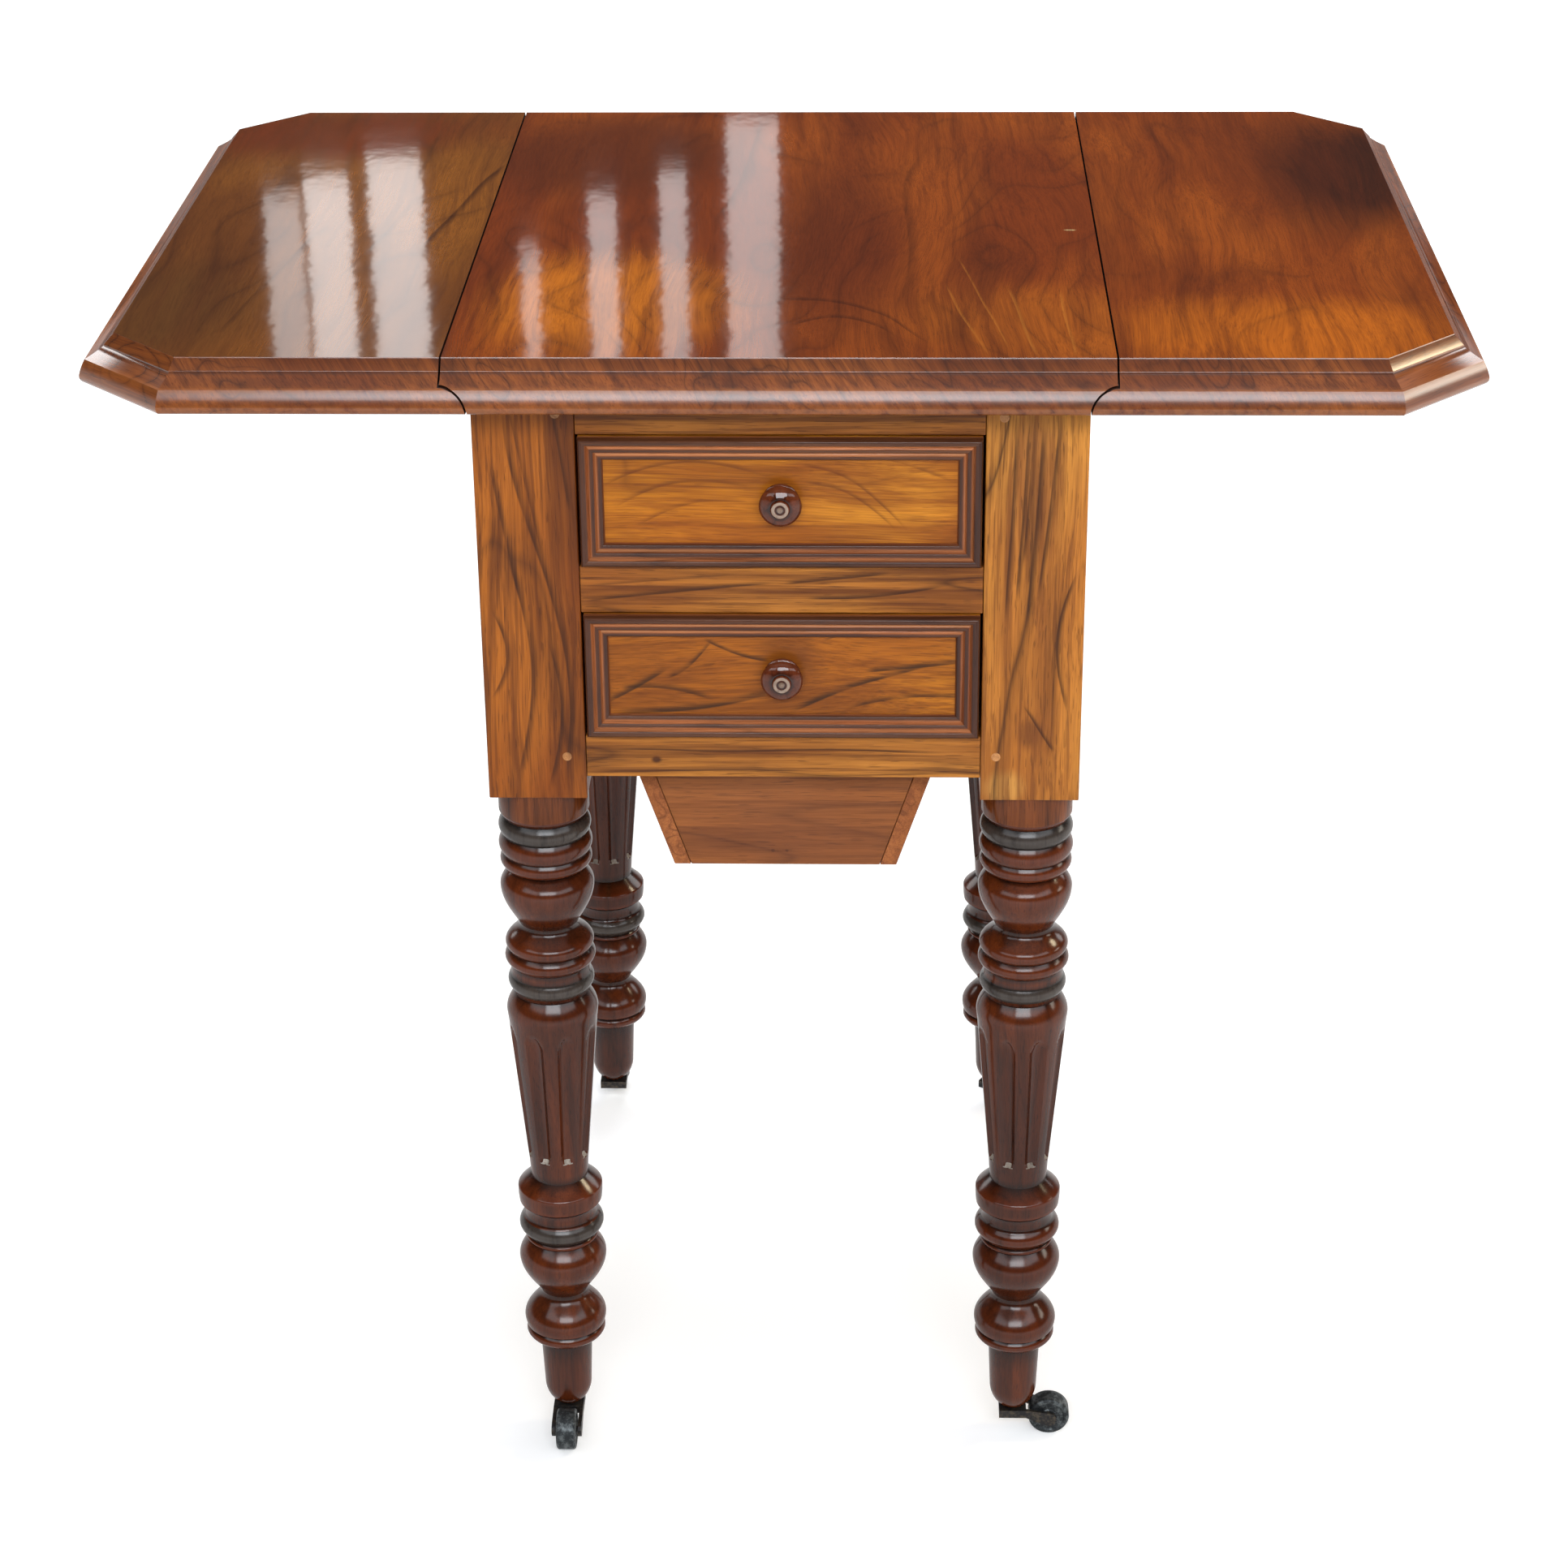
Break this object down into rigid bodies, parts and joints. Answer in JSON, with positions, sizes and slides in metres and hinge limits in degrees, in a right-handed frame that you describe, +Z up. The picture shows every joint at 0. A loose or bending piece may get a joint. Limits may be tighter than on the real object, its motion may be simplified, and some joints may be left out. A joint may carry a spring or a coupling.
{
  "type": "drop-leaf bedside table",
  "caption": "Wooden bedside table on turned, fluted legs with casters, with clipped-corner drop leaves on sliding supports, knobbed drawers and a tapered hanging well.",
  "frame": {"origin": "on the floor under the middle of the table", "axes": "+X to the right along the length with the leaves up, +Y from the drawer fronts to the back, +Z up"},
  "size_m": [0.7676, 0.5302, 0.73],
  "materials": {
    "leg_wood": "polished dark red-brown",
    "case_wood": "polished golden brown walnut",
    "top_wood": "high polish over red-brown walnut",
    "moulding_wood": "polished dark purple-brown",
    "drawer_wood": "polished golden orange walnut",
    "inner_wood": "plain planed wood",
    "well_wood": "matte stained wood",
    "iron": "dark worn metal"
  },
  "bodies": {
    "frame": {"leg_front_left": "leg_wood", "caster_pivot_front_left": "iron", "leg_back_left": "leg_wood", "caster_pivot_back_left": "iron", "leg_front_right": "leg_wood", "caster_pivot_front_right": "iron", "leg_back_right": "leg_wood", "caster_pivot_back_right": "iron", "front_bottom_rail": "case_wood", "front_middle_rail": "case_wood", "front_top_rail": "case_wood", "back_panel": "case_wood", "top_center": "top_wood", "loper_bearer": "inner_wood", "side_panel_left": "case_wood", "upper_runner_left": "inner_wood", "lower_runner_left": "inner_wood", "hinge_fixed_flap_left_front": "iron", "hinge_fixed_flap_left_back": "iron", "side_panel_right": "case_wood", "upper_runner_right": "inner_wood", "lower_runner_right": "inner_wood", "hinge_fixed_flap_right_front": "iron", "hinge_fixed_flap_right_back": "iron"},
    "leaf_left": {"leaf_left": "top_wood", "hinge_moving_flap_left_front": "iron", "hinge_moving_flap_left_back": "iron"},
    "loper_left": {"loper_left": "inner_wood"},
    "leaf_right": {"leaf_right": "top_wood", "hinge_moving_flap_right_front": "iron", "hinge_moving_flap_right_back": "iron"},
    "loper_right": {"loper_right": "inner_wood"},
    "upper_drawer": {"upper_drawer_front": "drawer_wood", "upper_drawer_moulding": "moulding_wood", "upper_drawer_knob": "leg_wood", "upper_drawer_side_left": "inner_wood", "upper_drawer_side_right": "inner_wood", "upper_drawer_back": "inner_wood", "upper_drawer_bottom": "inner_wood"},
    "lower_drawer": {"lower_drawer_front": "drawer_wood", "lower_drawer_moulding": "moulding_wood", "lower_drawer_knob": "leg_wood", "lower_drawer_side_left": "inner_wood", "lower_drawer_side_right": "inner_wood", "lower_drawer_back": "inner_wood", "lower_drawer_bottom": "inner_wood"},
    "well": {"well_side_left": "well_wood", "well_side_right": "well_wood", "well_front": "well_wood", "well_back": "well_wood", "well_bottom": "well_wood"},
    "caster_yoke_front_left": {"caster_yoke_front_left": "iron"},
    "caster_wheel_front_left": {"caster_wheel_front_left": "iron"},
    "caster_yoke_back_left": {"caster_yoke_back_left": "iron"},
    "caster_wheel_back_left": {"caster_wheel_back_left": "iron"},
    "caster_yoke_front_right": {"caster_yoke_front_right": "iron"},
    "caster_wheel_front_right": {"caster_wheel_front_right": "iron"},
    "caster_yoke_back_right": {"caster_yoke_back_right": "iron"},
    "caster_wheel_back_right": {"caster_wheel_back_right": "iron"}
  },
  "joints": [
    {"name": "leaf_left_fold", "type": "hinge", "parent": "frame", "child": "leaf_left", "pos_m": [-0.1809, 0, 0.7035], "axis": [0, -1, 0], "range_deg": [0, 90]},
    {"name": "loper_left_slide", "type": "slide", "parent": "frame", "child": "loper_left", "axis": [1, 0, 0], "range_m": [-0.12, 0]},
    {"name": "leaf_right_fold", "type": "hinge", "parent": "frame", "child": "leaf_right", "pos_m": [0.1809, 0, 0.7035], "axis": [0, 1, 0], "range_deg": [0, 90]},
    {"name": "loper_right_slide", "type": "slide", "parent": "frame", "child": "loper_right", "axis": [-1, 0, 0], "range_m": [-0.12, 0]},
    {"name": "upper_drawer_slide", "type": "slide", "parent": "frame", "child": "upper_drawer", "axis": [0, -1, 0], "range_m": [0, 0.27]},
    {"name": "lower_drawer_slide", "type": "slide", "parent": "frame", "child": "lower_drawer", "axis": [0, -1, 0], "range_m": [0, 0.27]},
    {"name": "well_slide", "type": "slide", "parent": "frame", "child": "well", "axis": [0, -1, 0], "range_m": [0, 0.23]},
    {"name": "caster_front_left_swivel", "type": "hinge", "parent": "frame", "child": "caster_yoke_front_left", "pos_m": [-0.14035, -0.19895, 0.018], "axis": [0, 0, 1], "continuous": true},
    {"name": "caster_front_left_roll", "type": "hinge", "parent": "caster_yoke_front_left", "child": "caster_wheel_front_left", "pos_m": [-0.14035, -0.22195, 0.01284], "axis": [1, 0, 0], "continuous": true},
    {"name": "caster_back_left_swivel", "type": "hinge", "parent": "frame", "child": "caster_yoke_back_left", "pos_m": [-0.14035, 0.19895, 0.018], "axis": [0, 0, 1], "continuous": true},
    {"name": "caster_back_left_roll", "type": "hinge", "parent": "caster_yoke_back_left", "child": "caster_wheel_back_left", "pos_m": [-0.14035, 0.22195, 0.01284], "axis": [-1, 0, 0], "continuous": true},
    {"name": "caster_front_right_swivel", "type": "hinge", "parent": "frame", "child": "caster_yoke_front_right", "pos_m": [0.14035, -0.19895, 0.018], "axis": [0, 0, 1], "continuous": true},
    {"name": "caster_front_right_roll", "type": "hinge", "parent": "caster_yoke_front_right", "child": "caster_wheel_front_right", "pos_m": [0.16335, -0.19895, 0.01284], "axis": [0, 1, 0], "continuous": true},
    {"name": "caster_back_right_swivel", "type": "hinge", "parent": "frame", "child": "caster_yoke_back_right", "pos_m": [0.14035, 0.19895, 0.018], "axis": [0, 0, 1], "continuous": true},
    {"name": "caster_back_right_roll", "type": "hinge", "parent": "caster_yoke_back_right", "child": "caster_wheel_back_right", "pos_m": [0.15185, 0.21887, 0.01284], "axis": [-0.866, 0.5, 0], "continuous": true}
  ]
}
